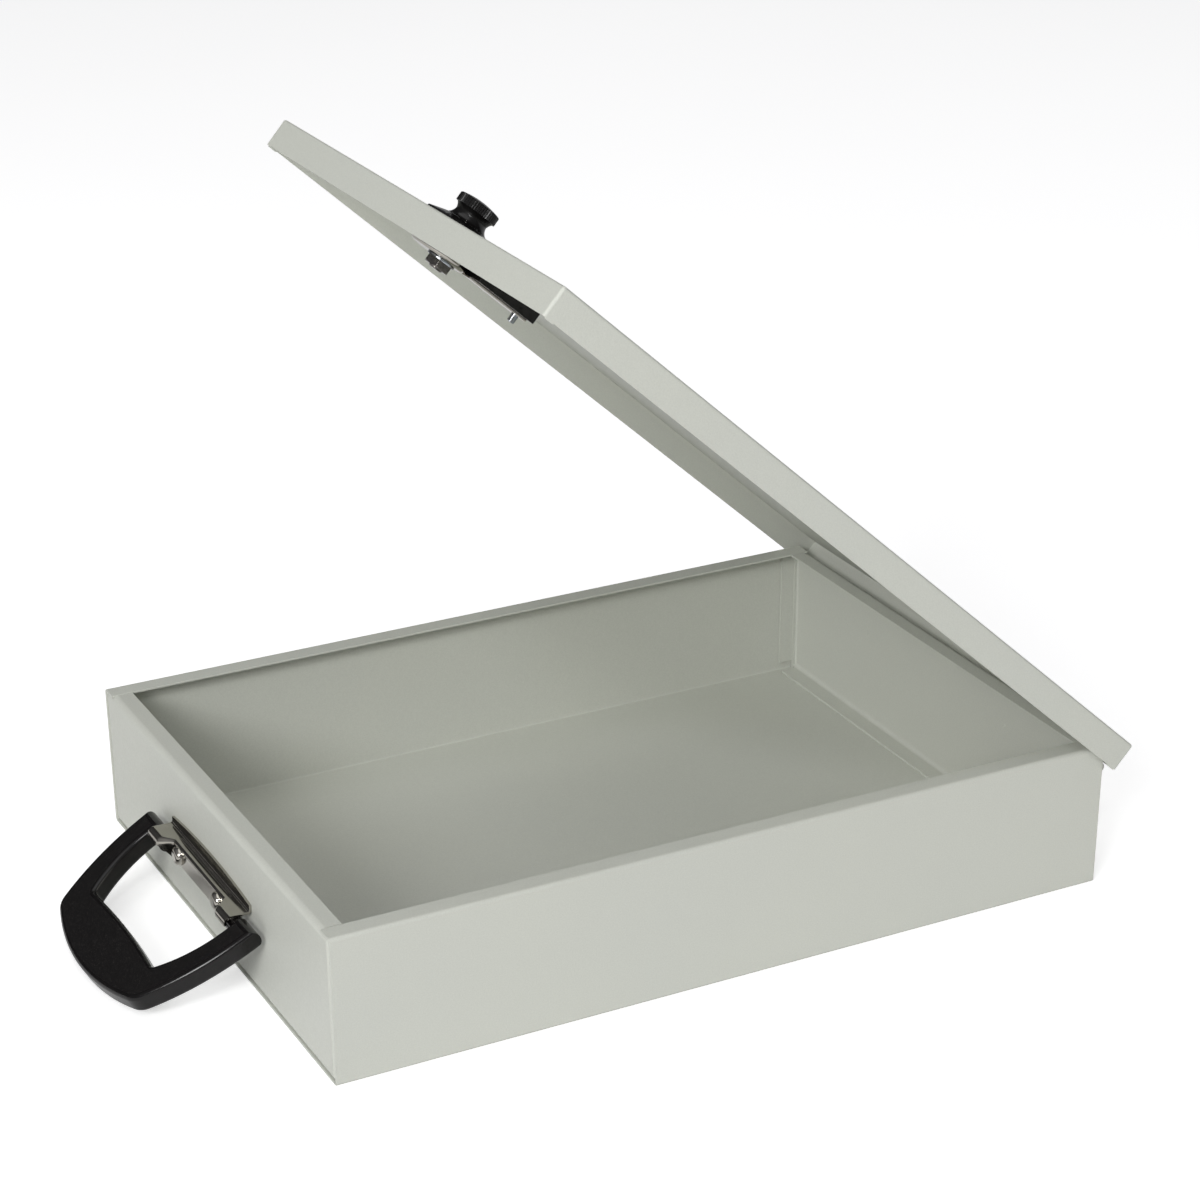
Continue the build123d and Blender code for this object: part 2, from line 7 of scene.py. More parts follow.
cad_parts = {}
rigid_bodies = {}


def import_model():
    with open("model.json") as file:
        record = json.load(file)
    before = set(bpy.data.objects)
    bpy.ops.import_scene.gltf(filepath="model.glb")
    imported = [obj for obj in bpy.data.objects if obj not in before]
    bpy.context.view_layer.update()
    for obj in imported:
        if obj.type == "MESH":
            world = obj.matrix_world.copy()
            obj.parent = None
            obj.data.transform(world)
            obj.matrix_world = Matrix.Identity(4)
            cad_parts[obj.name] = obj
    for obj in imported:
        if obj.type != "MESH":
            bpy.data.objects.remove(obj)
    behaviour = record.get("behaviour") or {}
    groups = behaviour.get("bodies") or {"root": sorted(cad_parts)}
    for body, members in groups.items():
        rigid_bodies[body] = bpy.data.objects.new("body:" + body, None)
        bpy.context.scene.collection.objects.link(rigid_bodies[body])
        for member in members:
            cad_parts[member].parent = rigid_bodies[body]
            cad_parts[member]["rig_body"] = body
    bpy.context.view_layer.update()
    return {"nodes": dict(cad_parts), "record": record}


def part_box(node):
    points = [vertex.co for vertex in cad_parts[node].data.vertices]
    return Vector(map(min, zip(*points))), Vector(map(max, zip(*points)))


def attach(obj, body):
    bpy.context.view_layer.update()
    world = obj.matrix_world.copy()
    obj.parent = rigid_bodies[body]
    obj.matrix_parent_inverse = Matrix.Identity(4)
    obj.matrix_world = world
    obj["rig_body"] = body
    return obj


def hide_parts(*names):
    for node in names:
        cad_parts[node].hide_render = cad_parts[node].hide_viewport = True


bl_info = {
    "name": "Document box",
    "version": (1, 0, 0),
    "blender": (4, 5, 0),
    "location": "3D View > Sidebar > Document box",
    "description": "Finishes a steel document box: folded sheet, painted hinge, lock and carrying handle",
    "category": "Object",
}

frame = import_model()

MERGE = 1e-6
FLAT = math.radians(0.3)
SHARP = math.radians(32)
BRACKET_SHARP = math.radians(60)
SAME_WAY = 0.999

# Wall sheet, and the weld marks on the hinge wall's inner face as pairs of y and height
SHEET = 0.001
WELD_MARKS = ((0.0580, 0.0436), (-0.0537, 0.0435))
WELD_STEPS = ((0.35, -1.0), (0.25, 0.1), (0.30, 0.75))
MARK_SIDES = 24

# Bracket: reaches are measured out from the wall, heights up from the tray's underside,
# and places along the bracket from its middle
BRACKET_SHEET = 0.0010
WALL_BEND = 0.0009
SHELF_REACH = 0.0063
SHELF_HEIGHT = 0.0360
FLANGE_END_HEIGHT = 0.0387
HOOD_ROOT = 0.0275
HOOD_START = 0.0328
PLATE_BOTTOM = 0.0274
HOOD_LIP = 0.0333
CHEEK_SOFTNESS = 0.3
GROOVE_HALF = 0.0280
GROOVE_PLACE = 0.0030
GROOVE_REACH = 0.0010
EAR_INNER = 0.0336
EAR_BOTTOM = 0.0270
EAR_GAP = 0.0002
PIN_CLEARANCE = 0.00005
PIN_HOLE_SIDES = 48

# Rows and columns of the bracket's grid
FLANGE_ROWS = 4
BEND_ROWS = 7
SHELF_ROWS = 30
PLATE_ROWS = 6
COLUMN_STEP = 0.0005

# Sizes of the patches and grains in the finishes, and depths of their bumps
CLOUD_SIZE = 0.12
NICKEL_PATCH = 0.006
NICKEL_WAVE = 0.0035
NICKEL_WAVE_DEPTH = 0.000004
STEEL_GRAIN = 0.0008
STEEL_GRAIN_DEPTH = 0.000002
ZINC_PATCH = 0.004
ZINC_GRAIN = 0.0004
ZINC_GRAIN_DEPTH = 0.000003
FLOW_MARK = 0.003
MOULD_RIPPLE = 0.0009
MOULD_RIPPLE_DEPTH = 0.000004
GRIP_MARK = 0.004
GRIP_RIPPLE = 0.0012
GRIP_RIPPLE_DEPTH = 0.000006
FLOOR_CLOUD = 0.6

# Shares that the finishes vary by
CLOUD_DARK = (0.975, 0.978, 0.985)
CLOUD_LIGHT = (1.0, 1.0, 0.992)
ROUGH_SPREAD = 0.05
DARK_SPREAD = 0.04
# Painted glints on the handle's flat faces: the noise level that marks a spot and the softness of its edge.
# The spots get a light colour that stands in for highlights.
GLINT_LEVEL = 0.64
GLINT_EDGE = 0.05

# Floor and surroundings
FLOOR_RADIUS = 40
FLOOR_DARK = (0.88, 0.88, 0.88)
FLOOR_LIGHT = (0.90, 0.90, 0.90)
FLOOR_GLOW = 0.08
FLOOR_WHITE = 0.52
BRIGHT_SIDE = (-0.53, -0.62, 0.58)
ROOM_DARK = (0.045, 0.045, 0.047)
ROOM_BRIGHT = (0.36, 0.36, 0.37)
SKY = (0.78, 0.78, 0.78)

# Lamps: name, place, aim, size and power
LAMPS = (("key_softbox", (-2.1, -1.7, 1.5), (0, 0, 0.05), (1.2, 1.0), 52),
         ("front_softbox", (-0.9, -2.0, 2.1), (0, 0, 0.1), (0.35, 0.35), 12),
         ("top_softbox", (0.3, -0.2, 3.2), (0, 0, 0), (3.4, 2.6), 30))


class DocBoxPaint(bpy.types.PropertyGroup):
    """Powder coat on the folded sheets and the hinge."""

    colour: bpy.props.FloatVectorProperty(
        name="Powder coat", description="Light grey-green of the coat",
        subtype="COLOR", size=3, min=0, max=1, default=(0.575, 0.587, 0.532))
    roughness: bpy.props.FloatProperty(
        name="Roughness", description="How matt the coat is",
        subtype="FACTOR", min=0, max=1, default=0.44)
    peel_size: bpy.props.FloatProperty(
        name="Orange peel", description="Width of the coat's soft lumps",
        unit="LENGTH", default=0.0017)
    peel_depth: bpy.props.FloatProperty(
        name="Peel depth", description="Height of the soft lumps",
        unit="LENGTH", default=0.000048)
    grain_size: bpy.props.FloatProperty(
        name="Grain", description="Width of the fine grain on the lumps",
        unit="LENGTH", default=0.0006)
    grain_depth: bpy.props.FloatProperty(
        name="Grain depth", description="Height of the fine grain",
        unit="LENGTH", default=0.000018)


class DocBoxMetal(bpy.types.PropertyGroup):
    """Plated steel of the bracket, latch and fasteners."""

    nickel: bpy.props.FloatVectorProperty(
        name="Nickel", description="Bright plate of the bracket, rivets, latch and spring",
        subtype="COLOR", size=3, min=0, max=1, default=(0.47, 0.45, 0.405))
    zinc: bpy.props.FloatVectorProperty(
        name="Zinc", description="Bluish plate of the washer, bush, studs, pins and hinge wire",
        subtype="COLOR", size=3, min=0, max=1, default=(0.42, 0.43, 0.45))
    dark_steel: bpy.props.FloatVectorProperty(
        name="Dark steel", description="Blackened steel of the nuts and the spindle",
        subtype="COLOR", size=3, min=0, max=1, default=(0.17, 0.16, 0.15))
    nickel_roughness: bpy.props.FloatProperty(
        name="Nickel roughness", description="Blur of what the nickel reflects",
        subtype="FACTOR", min=0, max=1, default=0.12)
    zinc_roughness: bpy.props.FloatProperty(
        name="Zinc roughness", description="Blur of what the zinc reflects",
        subtype="FACTOR", min=0, max=1, default=0.20)
    dark_roughness: bpy.props.FloatProperty(
        name="Dark roughness", description="Blur of what the dark steel reflects",
        subtype="FACTOR", min=0, max=1, default=0.15)


class DocBoxPlastic(bpy.types.PropertyGroup):
    """Moulded plastic of the handle, knob and spring block."""

    black: bpy.props.FloatVectorProperty(
        name="Black plastic", description="Knob, rosette and spring block",
        subtype="COLOR", size=3, min=0, max=1, default=(0.0050, 0.0046, 0.0044))
    grip: bpy.props.FloatVectorProperty(
        name="Handle plastic", description="Carrying handle",
        subtype="COLOR", size=3, min=0, max=1, default=(0.0042, 0.0036, 0.0036))
    # Painted highlight: a light colour put on spots of the handle's textured flats in place of the glints
    # that light makes on them
    painted_glint: bpy.props.FloatVectorProperty(
        name="Specks", description="Bright specks in the texture of the handle's flat faces",
        subtype="COLOR", size=3, min=0, max=1, default=(0.050, 0.046, 0.042))
    gloss: bpy.props.FloatProperty(
        name="Gloss roughness", description="Roughness of smooth plastic",
        subtype="FACTOR", min=0, max=1, default=0.13)
    sheen: bpy.props.FloatProperty(
        name="Sheen", description="Share of the light that the plastic mirrors",
        subtype="FACTOR", min=0, max=1, default=0.36)
    texture_size: bpy.props.FloatProperty(
        name="Grip texture", description="Width of the pits on the handle's flat faces",
        unit="LENGTH", default=0.0008)
    texture_depth: bpy.props.FloatProperty(
        name="Texture depth", description="Depth of those pits",
        unit="LENGTH", default=0.00009)


class DocBoxShape(bpy.types.PropertyGroup):
    """Small forms that the sheet and the bracket have besides their main shapes."""

    sheet_round: bpy.props.FloatProperty(
        name="Sheet edges", description="Rounding of the painted sheets' cut edges",
        unit="LENGTH", default=0.00028)
    metal_round: bpy.props.FloatProperty(
        name="Metal edges", description="Rounding of the plated parts' edges",
        unit="LENGTH", default=0.00018)
    nut_round: bpy.props.FloatProperty(
        name="Nut edges", description="Rounding of the latch nut's edges",
        unit="LENGTH", default=0.0006)
    mark_radius: bpy.props.FloatProperty(
        name="Weld mark", description="Radius of a spot-weld mark on the hinge wall",
        unit="LENGTH", default=0.0011)
    mark_depth: bpy.props.FloatProperty(
        name="Mark depth", description="Height of a weld mark's raised rim",
        unit="LENGTH", default=0.00022)
    shelf_bend: bpy.props.FloatProperty(
        name="Shelf bend", description="Bend radius between the bracket's shelf and front plate",
        unit="LENGTH", default=0.0013)
    hood_bend: bpy.props.FloatProperty(
        name="Hood bend", description="Bend radius along the front of the bracket's hoods",
        unit="LENGTH", default=0.0027)
    groove_depth: bpy.props.FloatProperty(
        name="Groove depth", description="Depth of the groove pressed into the shelf",
        unit="LENGTH", default=0.0004)


class DocBoxStage(bpy.types.PropertyGroup):
    """Camera and light."""

    azimuth: bpy.props.FloatProperty(
        name="Azimuth", description="Camera direction round the box",
        subtype="ANGLE", default=math.radians(-27.32))
    elevation: bpy.props.FloatProperty(
        name="Elevation", description="Camera height above the horizon",
        subtype="ANGLE", default=math.radians(27.57))
    roll: bpy.props.FloatProperty(
        name="Roll", description="Turn of the camera about its own axis",
        subtype="ANGLE", default=math.radians(-0.23))
    distance: bpy.props.FloatProperty(
        name="Distance", description="Camera distance from its target",
        unit="LENGTH", default=1.3032)
    target: bpy.props.FloatVectorProperty(
        name="Target", description="Point that the camera is aimed at",
        subtype="TRANSLATION", size=3, default=(0.00258, 0, 0.01046))
    focal_share: bpy.props.FloatProperty(
        name="Focal length", description="Focal length as a share of the picture's width",
        default=3043.56 / 1200)
    shift: bpy.props.FloatProperty(
        name="Shift", description="Upward shift of the picture, as a share of its width",
        default=0.18939)
    strength: bpy.props.FloatProperty(
        name="Light", description="Strength of all the lamps together",
        min=0, default=1.0)


def alone(*pieces):
    """Deselect everything, then select these objects and make the first one active."""
    bpy.ops.object.select_all(action="DESELECT")
    for piece in pieces:
        piece.select_set(True)
    bpy.context.view_layer.objects.active = pieces[0]


def pick(piece, kind, test):
    """Select the mesh's faces, edges or vertices that pass a test, and go to edit mode."""
    alone(piece)
    mesh = piece.data
    for part in (*mesh.vertices, *mesh.edges, *mesh.polygons):
        part.select = False
    for part in {"FACE": mesh.polygons, "EDGE": mesh.edges, "VERT": mesh.vertices}[kind]:
        part.select = test(part)
    bpy.ops.object.mode_set(mode="EDIT")
    bpy.ops.mesh.select_mode(type=kind)


def leave():
    """Back to object mode."""
    bpy.ops.object.mode_set(mode="OBJECT")


def modify(piece, kind, **values):
    """Add a modifier with these settings and apply it."""
    alone(piece)
    modifier = piece.modifiers.new(kind.title(), kind)
    for key, value in values.items():
        setattr(modifier, key, value)
    bpy.ops.object.modifier_apply(modifier=modifier.name)


def soften(piece, width, segments=2, angle=SHARP):
    """Round the sharp edges, and shade bends smooth and flats flat."""
    if width:
        modify(piece, "BEVEL", width=width, segments=segments, limit_method="ANGLE",
               angle_limit=angle, use_clamp_overlap=True, loop_slide=True)
    alone(piece)
    bpy.ops.object.shade_smooth_by_angle(angle=SHARP)
    modify(piece, "WEIGHTED_NORMAL", keep_sharp=True, weight=80)


def settle(piece):
    """Put the object at the origin with its place in its mesh."""
    alone(piece)
    bpy.ops.object.transform_apply(location=True, rotation=True, scale=True)


def copy_of(node, name):
    """Merged copy of a node's mesh, with its flat faces joined."""
    piece = bpy.data.objects.new(name, frame["nodes"][node].data.copy())
    bpy.context.scene.collection.objects.link(piece)
    piece.data.name = name
    pick(piece, "VERT", lambda part: True)
    bpy.ops.mesh.customdata_custom_splitnormals_clear()
    bpy.ops.mesh.select_all(action="SELECT")
    bpy.ops.mesh.remove_doubles(threshold=MERGE)
    bpy.ops.mesh.dissolve_limited(angle_limit=FLAT)
    leave()
    return piece


def dress(piece, finish):
    """Give the whole piece one finish."""
    piece.data.materials.clear()
    piece.data.materials.append(material(finish))


def hand_in(piece, node):
    """Let the piece stand for its node, on the node's body, and hide the node."""
    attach(piece, frame["nodes"][node]["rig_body"])
    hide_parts(node)


def rounded(node, name, finish, width, segments=2):
    """Copy of a node with rounded edges and a finish, in the node's place."""
    piece = copy_of(node, name)
    soften(piece, width, segments)
    dress(piece, finish)
    hand_in(piece, node)
    return piece


def noise(tree, size, detail=2.0, stretch=(1, 1, 1)):
    """Noise over the object whose lumps are about this size across."""
    place = tree.nodes.new("ShaderNodeTexCoord")
    scale = tree.nodes.new("ShaderNodeMapping")
    scale.inputs["Scale"].default_value = [s / size for s in stretch]
    texture = tree.nodes.new("ShaderNodeTexNoise")
    texture.inputs["Scale"].default_value = 1.0
    texture.inputs["Detail"].default_value = detail
    tree.links.new(place.outputs["Object"], scale.inputs["Vector"])
    tree.links.new(scale.outputs["Vector"], texture.inputs["Vector"])
    return texture.outputs["Fac"]


def spread(tree, value, low, high, edge=0.3):
    """Noise stretched to run from low to high."""
    reach = tree.nodes.new("ShaderNodeMapRange")
    reach.inputs["From Min"].default_value = edge
    reach.inputs["From Max"].default_value = 1 - edge
    reach.inputs["To Min"].default_value = low
    reach.inputs["To Max"].default_value = high
    tree.links.new(value, reach.inputs["Value"])
    return reach.outputs["Result"]


def tint(tree, value, dark, light, edge=0.3):
    """Colour that runs from dark to light with the noise."""
    ramp = tree.nodes.new("ShaderNodeValToRGB")
    ramp.color_ramp.elements[0].position = edge
    ramp.color_ramp.elements[0].color = (*dark, 1)
    ramp.color_ramp.elements[1].position = 1 - edge
    ramp.color_ramp.elements[1].color = (*light, 1)
    tree.links.new(value, ramp.inputs["Fac"])
    return ramp.outputs["Color"]


def glint_mask(tree, size, level):
    """Mask of the few spots where fine noise rises over a level, where the handle's painted glints go."""
    mask = tree.nodes.new("ShaderNodeMapRange")
    mask.inputs["From Min"].default_value = level
    mask.inputs["From Max"].default_value = level + GLINT_EDGE
    tree.links.new(noise(tree, size), mask.inputs["Value"])
    return mask.outputs["Result"]


def bump(tree, value, depth, under=None):
    """Bump of a real depth, on top of another one."""
    made = tree.nodes.new("ShaderNodeBump")
    made.inputs["Strength"].default_value = 1.0
    made.inputs["Distance"].default_value = depth
    tree.links.new(value, made.inputs["Height"])
    if under:
        tree.links.new(under, made.inputs["Normal"])
    return made.outputs["Normal"]


def multiply(tree, first, second):
    """Two colours multiplied."""
    mix = tree.nodes.new("ShaderNodeMix")
    mix.data_type = "RGBA"
    mix.blend_type = "MULTIPLY"
    mix.inputs["Factor"].default_value = 1.0
    tree.links.new(first, mix.inputs["A"])
    tree.links.new(second, mix.inputs["B"])
    return mix.outputs["Result"]


def shader_of(name, metallic=0.0):
    """New material and its main shader."""
    made = bpy.data.materials.new(name)
    made.use_nodes = True
    shader = made.node_tree.nodes["Principled BSDF"]
    shader.inputs["Metallic"].default_value = metallic
    return made, made.node_tree, shader.inputs


def scaled(colour, factor):
    """Colour made lighter or darker."""
    return tuple(min(1.0, c * factor) for c in colour)


def powder_coat():
    """Light grey-green coat: soft orange peel, a fine grain and a faint mottle."""
    paint = bpy.context.scene.docbox_paint
    made, tree, inputs = shader_of("powder_coat")
    grain = noise(tree, paint.grain_size, 3.0)
    peel = noise(tree, paint.peel_size)
    cloud = noise(tree, CLOUD_SIZE, 3.0)
    fine = tint(tree, grain, scaled(paint.colour, 0.955), scaled(paint.colour, 1.035))
    broad = tint(tree, cloud, CLOUD_DARK, CLOUD_LIGHT)
    tree.links.new(multiply(tree, fine, broad), inputs["Base Color"])
    rough = spread(tree, peel, paint.roughness - ROUGH_SPREAD, paint.roughness + ROUGH_SPREAD)
    tree.links.new(rough, inputs["Roughness"])
    lumps = bump(tree, peel, paint.peel_depth)
    tree.links.new(bump(tree, grain, paint.grain_depth, lumps), inputs["Normal"])
    return made


def nickel():
    """Bright plate over pressed steel: slight waves and a few duller patches."""
    metal = bpy.context.scene.docbox_metal
    made, tree, inputs = shader_of("nickel_plate", metallic=1.0)
    patches = noise(tree, NICKEL_PATCH, 3.0)
    tree.links.new(tint(tree, patches, scaled(metal.nickel, 0.92), metal.nickel), inputs["Base Color"])
    rough = spread(tree, patches, metal.nickel_roughness - ROUGH_SPREAD,
                   metal.nickel_roughness + ROUGH_SPREAD)
    tree.links.new(rough, inputs["Roughness"])
    tree.links.new(bump(tree, noise(tree, NICKEL_WAVE), NICKEL_WAVE_DEPTH), inputs["Normal"])
    return made


def dark_steel():
    """Blackened steel with a clear shine and a fine grain."""
    metal = bpy.context.scene.docbox_metal
    made, tree, inputs = shader_of("dark_steel", metallic=1.0)
    grain = noise(tree, STEEL_GRAIN, 3.0)
    tree.links.new(tint(tree, grain, scaled(metal.dark_steel, 0.8), scaled(metal.dark_steel, 1.2)),
                   inputs["Base Color"])
    rough = spread(tree, grain, metal.dark_roughness - DARK_SPREAD,
                   metal.dark_roughness + DARK_SPREAD)
    tree.links.new(rough, inputs["Roughness"])
    tree.links.new(bump(tree, grain, STEEL_GRAIN_DEPTH), inputs["Normal"])
    return made


def zinc():
    """Zinc plate: bluish and yellowish patches and a fine crystal grain."""
    metal = bpy.context.scene.docbox_metal
    made, tree, inputs = shader_of("zinc_plate", metallic=1.0)
    patches = noise(tree, ZINC_PATCH)
    yellow = (metal.zinc[0] * 1.05, metal.zinc[1], metal.zinc[2] * 0.90)
    blue = (metal.zinc[0] * 0.94, metal.zinc[1] * 1.01, metal.zinc[2] * 1.08)
    tree.links.new(tint(tree, patches, yellow, blue), inputs["Base Color"])
    grain = noise(tree, ZINC_GRAIN)
    rough = spread(tree, grain, metal.zinc_roughness - ROUGH_SPREAD,
                   metal.zinc_roughness + ROUGH_SPREAD)
    tree.links.new(rough, inputs["Roughness"])
    tree.links.new(bump(tree, grain, ZINC_GRAIN_DEPTH), inputs["Normal"])
    return made


def black_plastic():
    """Satin black moulding with faint flow marks."""
    plastic = bpy.context.scene.docbox_plastic
    made, tree, inputs = shader_of("black_moulding")
    inputs["Specular IOR Level"].default_value = plastic.sheen
    marks = noise(tree, FLOW_MARK, 3.0)
    tree.links.new(tint(tree, marks, scaled(plastic.black, 0.8), scaled(plastic.black, 1.3)),
                   inputs["Base Color"])
    tree.links.new(spread(tree, marks, plastic.gloss + 0.02, plastic.gloss + 0.12), inputs["Roughness"])
    tree.links.new(bump(tree, noise(tree, MOULD_RIPPLE), MOULD_RIPPLE_DEPTH), inputs["Normal"])
    return made


def grip_side():
    """Smooth sides and rounded edges of the handle."""
    plastic = bpy.context.scene.docbox_plastic
    made, tree, inputs = shader_of("handle_smooth")
    inputs["Specular IOR Level"].default_value = plastic.sheen
    marks = noise(tree, GRIP_MARK, 3.0)
    tree.links.new(tint(tree, marks, scaled(plastic.grip, 0.8), scaled(plastic.grip, 1.4)),
                   inputs["Base Color"])
    tree.links.new(spread(tree, marks, plastic.gloss, plastic.gloss + 0.10), inputs["Roughness"])
    tree.links.new(bump(tree, noise(tree, GRIP_RIPPLE), GRIP_RIPPLE_DEPTH), inputs["Normal"])
    return made


def grip_face():
    """Flat faces of the handle with a fine erosion texture and painted glints: spots of light colour that
    stand in for highlights on the pits.
    """
    plastic = bpy.context.scene.docbox_plastic
    made, tree, inputs = shader_of("handle_textured")
    inputs["Specular IOR Level"].default_value = plastic.sheen
    pits = noise(tree, plastic.texture_size, 3.0)
    glint_spots = glint_mask(tree, plastic.texture_size / 2, GLINT_LEVEL)
    # Painted highlight: the glint colour on the masked spots stands in for light catching the texture
    tree.links.new(tint(tree, glint_spots, plastic.grip, plastic.painted_glint, 0.0), inputs["Base Color"])
    tree.links.new(spread(tree, pits, plastic.gloss + 0.20, plastic.gloss + 0.40), inputs["Roughness"])
    tree.links.new(bump(tree, pits, plastic.texture_depth), inputs["Normal"])
    return made


def pale_floor():
    """Plain pale sweep under the box, lifted towards white like a light table."""
    made, tree, inputs = shader_of("pale_floor")
    inputs["Roughness"].default_value = 0.75
    inputs["Specular IOR Level"].default_value = 0.2
    inputs["Emission Color"].default_value = (1, 1, 1, 1)
    path = tree.nodes.new("ShaderNodeLightPath")
    glow = spread(tree, path.outputs["Is Camera Ray"], FLOOR_GLOW, FLOOR_WHITE, 0.0)
    tree.links.new(glow, inputs["Emission Strength"])
    tree.links.new(tint(tree, noise(tree, FLOOR_CLOUD), FLOOR_DARK, FLOOR_LIGHT), inputs["Base Color"])
    return made


FINISHES = {"powder_coat": powder_coat, "nickel": nickel, "zinc": zinc, "dark_steel": dark_steel,
            "black_plastic": black_plastic, "grip_side": grip_side, "grip_face": grip_face,
            "pale_floor": pale_floor}
made_finishes = {}


def material(finish):
    """The finish's material, made the first time that a piece takes it."""
    if finish not in made_finishes:
        made_finishes[finish] = FINISHES[finish]()
    return made_finishes[finish]


def weld_mark(side_y, height, face_x):
    """Small crater with a raised rim, left by a spot weld on the wall's inner face."""
    shape = bpy.context.scene.docbox_shape
    bpy.ops.object.select_all(action="DESELECT")
    bpy.ops.mesh.primitive_circle_add(vertices=MARK_SIDES, radius=shape.mark_radius, fill_type="NGON",
                                      location=(face_x, side_y, height), rotation=(0, -math.pi / 2, 0))
    mark = bpy.context.object
    settle(mark)
    pick(mark, "FACE", lambda part: True)
    for inward, lift in WELD_STEPS:
        bpy.ops.mesh.inset(thickness=shape.mark_radius * inward)
        bpy.ops.transform.translate(value=(shape.mark_depth * lift, 0, 0))
    leave()
    alone(mark)
    bpy.ops.object.shade_smooth()
    dress(mark, "powder_coat")
    return mark


class DOCBOX_OT_tray(bpy.types.Operator):
    """Folded floor with long walls, and the two end walls, with softened painted edges"""

    bl_idname = "docbox.tray"
    bl_label = "Tray"

    def execute(self, context):
        width = context.scene.docbox_shape.sheet_round
        rounded("tray_shell", "tray_channel", "powder_coat", width)
        rounded("handle_wall", "handle_end_wall", "powder_coat", width)
        wall = rounded("hinge_wall", "hinge_end_wall", "powder_coat", width)
        face_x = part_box("hinge_wall")[1].x - SHEET
        marks = [weld_mark(y, z, face_x) for y, z in WELD_MARKS]
        alone(wall, *marks)
        bpy.ops.object.join()
        return {"FINISHED"}


class DOCBOX_OT_lid(bpy.types.Operator):
    """Lid pan with rounded top bends and softened skirt edges"""

    bl_idname = "docbox.lid"
    bl_label = "Lid"

    def execute(self, context):
        rounded("lid_shell", "lid_pan", "powder_coat", context.scene.docbox_shape.sheet_round)
        return {"FINISHED"}


class DOCBOX_OT_hinge(bpy.types.Operator):
    """Painted leaves of the piano hinge and its bright wire"""

    bl_idname = "docbox.hinge"
    bl_label = "Piano hinge"

    def execute(self, context):
        for node in ("hinge_tray_leaf", "hinge_lid_leaf"):
            dress_node(node, "powder_coat")
        dress_node("hinge_pin", "zinc")
        return {"FINISHED"}


def dress_node(node, finish):
    """New finish for a node whose shape stays."""
    frame["nodes"][node].material_slots[0].material = material(finish)


def ease(share):
    """Share that runs like a ramp with slightly rounded ends."""
    share = min(1.0, max(0.0, share))
    return (1 - CHEEK_SOFTNESS) * share + CHEEK_SOFTNESS * share * share * (3 - 2 * share)


def bracket_section(y, half_length, flange_top, reach):
    """Visible face of the bracket's sheet at one place along it, as pairs of reach and height."""
    shape = bpy.context.scene.docbox_shape
    share = ease((abs(y) - HOOD_ROOT) / (HOOD_START - HOOD_ROOT))
    out = SHELF_REACH + (reach - SHELF_REACH) * share
    bend = shape.shelf_bend + (shape.hood_bend - shape.shelf_bend) * share
    low = PLATE_BOTTOM + (HOOD_LIP - PLATE_BOTTOM) * share
    top = FLANGE_END_HEIGHT + (flange_top - FLANGE_END_HEIGHT) * (1 - (y / half_length) ** 2)
    foot = SHELF_HEIGHT + WALL_BEND
    points = [(BRACKET_SHEET, top + (foot - top) * i / FLANGE_ROWS) for i in range(FLANGE_ROWS)]
    for i in range(BEND_ROWS):
        turn = math.pi / 2 * i / BEND_ROWS
        points.append((BRACKET_SHEET + WALL_BEND * (1 - math.cos(turn)), foot - WALL_BEND * math.sin(turn)))
    start = BRACKET_SHEET + WALL_BEND
    for i in range(SHELF_ROWS):
        place = start + (out - bend - start) * i / SHELF_ROWS
        points.append((place, SHELF_HEIGHT - groove_at(place, y)))
    for i in range(BEND_ROWS):
        turn = math.pi / 2 * i / BEND_ROWS
        points.append((out - bend * (1 - math.sin(turn)), SHELF_HEIGHT - bend * (1 - math.cos(turn))))
    for i in range(PLATE_ROWS + 1):
        points.append((out, SHELF_HEIGHT - bend + (low - SHELF_HEIGHT + bend) * i / PLATE_ROWS))
    return points


def groove_at(place, y):
    """Depth of the shelf's pressed groove, which ends in points towards the hoods."""
    width = GROOVE_REACH * max(0.0, 1 - (abs(y) / GROOVE_HALF) ** 6) ** 0.5
    if abs(place - GROOVE_PLACE) >= width:
        return 0.0
    share = abs(place - GROOVE_PLACE) / width
    return bpy.context.scene.docbox_shape.groove_depth * (1 + math.cos(math.pi * share)) / 2


def bracket_sheet(low, high):
    """The bracket's whole sheet: a grid laid along its sections, then given its thickness."""
    columns = round((high.y - low.y) / COLUMN_STEP) + 1
    rows = FLANGE_ROWS + 2 * BEND_ROWS + SHELF_ROWS + PLATE_ROWS + 1
    bpy.ops.object.select_all(action="DESELECT")
    bpy.ops.mesh.primitive_grid_add(x_subdivisions=columns - 1, y_subdivisions=rows - 1, size=2)
    piece = bpy.context.object
    piece.name = "pressed_bracket"
    sections = []
    for i in range(columns):
        y = low.y + (high.y - low.y) * i / (columns - 1)
        sections.append([(high.x - out, y, z) for out, z in
                         bracket_section(y, high.y, high.z, high.x - low.x)])
    for vertex in piece.data.vertices:
        column = round((vertex.co.x + 1) / 2 * (columns - 1))
        row = round((vertex.co.y + 1) / 2 * (rows - 1))
        vertex.co = sections[column][row]
    piece.data.update()
    shelf = max(piece.data.polygons, key=lambda face: abs(face.normal.z))
    if shelf.normal.z < 0:
        pick(piece, "FACE", lambda part: True)
        bpy.ops.mesh.flip_normals()
        leave()
    modify(piece, "SOLIDIFY", thickness=BRACKET_SHEET, offset=-1.0, use_even_offset=True)
    return piece


